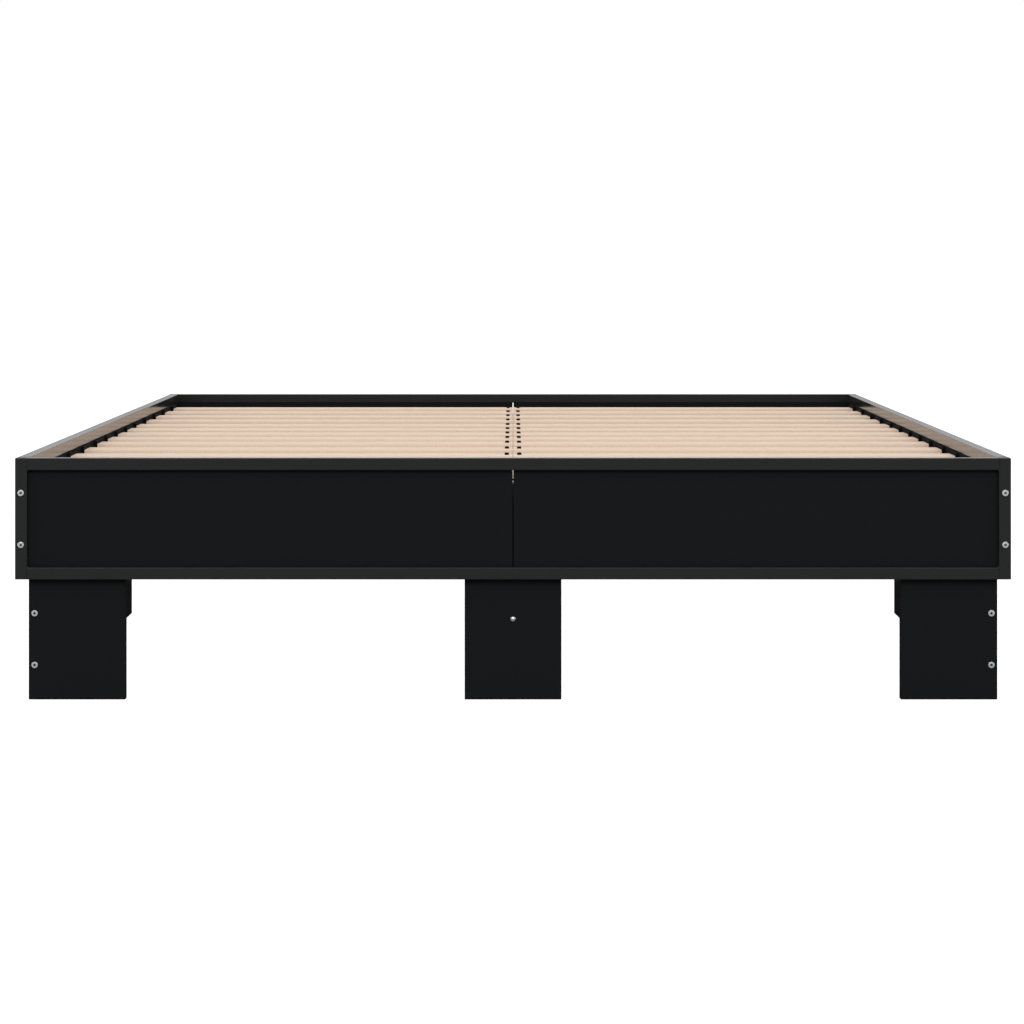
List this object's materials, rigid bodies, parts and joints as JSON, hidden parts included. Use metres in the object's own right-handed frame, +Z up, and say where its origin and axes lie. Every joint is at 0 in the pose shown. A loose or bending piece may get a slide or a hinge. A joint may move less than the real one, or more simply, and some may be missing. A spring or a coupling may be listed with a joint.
{
  "type": "bed frame",
  "caption": "Low rectangular platform bed frame: black steel tube frames with black infill boards, board legs and split plywood slats.",
  "frame": {"origin": "on the floor, under the middle of the bed", "axes": "+X across the bed to the right as seen from the foot end, +Y along the bed from the foot end to the head end, +Z up"},
  "size_m": [1.23, 2.036, 0.3],
  "materials": {
    "steel_black": "black powder coat, satin, fine texture",
    "board_black": "engineered wood with a matt black melamine face",
    "plywood": "light bare plywood, sanded",
    "plastic_black": "moulded black plastic, matt",
    "zinc": "bright zinc plate",
    "beech": "fluted beech dowel, bare"
  },
  "bodies": {
    "root": {"foot_frame": "steel_black", "head_frame": "steel_black", "left_frame": "steel_black", "right_frame": "steel_black", "centre_beam": "steel_black", "left_slat_rail": "steel_black", "right_slat_rail": "steel_black", "foot_left_panel": "board_black", "foot_right_panel": "board_black", "head_left_panel": "board_black", "head_right_panel": "board_black", "left_side_foot_panel": "board_black", "left_side_head_panel": "board_black", "right_side_foot_panel": "board_black", "right_side_head_panel": "board_black", "foot_left_leg_face": "board_black", "foot_left_leg_side": "board_black", "foot_right_leg_face": "board_black", "foot_right_leg_side": "board_black", "head_left_leg_face": "board_black", "head_left_leg_side": "board_black", "head_right_leg_face": "board_black", "head_right_leg_side": "board_black", "left_middle_leg": "board_black", "right_middle_leg": "board_black", "foot_centre_leg_face": "board_black", "foot_centre_leg_rib": "board_black", "middle_centre_leg_face": "board_black", "middle_centre_leg_rib": "board_black", "head_centre_leg_face": "board_black", "head_centre_leg_rib": "board_black", "slat_row_1": "plywood", "slat_row_2": "plywood", "slat_row_3": "plywood", "slat_row_4": "plywood", "slat_row_5": "plywood", "slat_row_6": "plywood", "slat_row_7": "plywood", "slat_row_8": "plywood", "slat_row_9": "plywood", "slat_row_10": "plywood", "slat_row_11": "plywood", "slat_row_12": "plywood", "slat_row_13": "plywood", "left_slat_holders": "plastic_black", "right_slat_holders": "plastic_black", "centre_slat_holders": "plastic_black", "tube_plugs": "plastic_black", "corner_bolts": "zinc", "leg_bolts": "zinc", "rivet_nuts": "zinc", "leg_screws": "zinc", "centre_leg_screws": "zinc", "panel_screws": "zinc", "rail_screws": "zinc", "dowels": "beech"}
  },
  "joints": []
}
